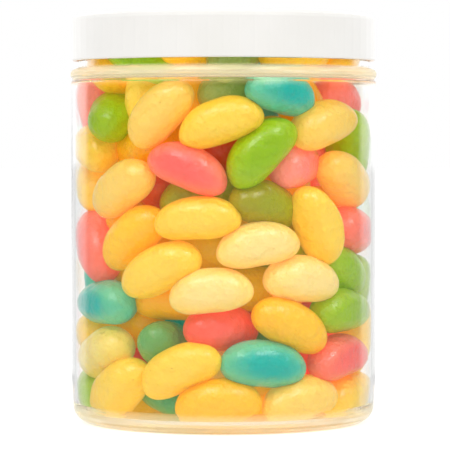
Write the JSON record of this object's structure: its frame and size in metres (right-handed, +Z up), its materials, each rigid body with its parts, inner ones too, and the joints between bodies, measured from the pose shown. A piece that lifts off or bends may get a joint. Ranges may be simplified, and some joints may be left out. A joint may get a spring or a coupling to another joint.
{
  "type": "jar of jelly beans",
  "caption": "Clear round plastic jar with a white screw cap, packed full of jelly beans in yellow, orange, pink, green and turquoise.",
  "frame": {"origin": "middle of the foot, on the surface that the jar stands on", "axes": "+Z up along the jar's axis, -Y to the front as pictured, +X to the right"},
  "size_m": [0.084, 0.084, 0.1115],
  "materials": {
    "clear_plastic": "clear, smooth and glossy",
    "white_plastic": "satin white",
    "bean_shell": "polished sugar shells in mixed bright colours"
  },
  "bodies": {
    "root": {"jar": "clear_plastic", "cap": "white_plastic", "beans": "bean_shell"}
  },
  "joints": []
}
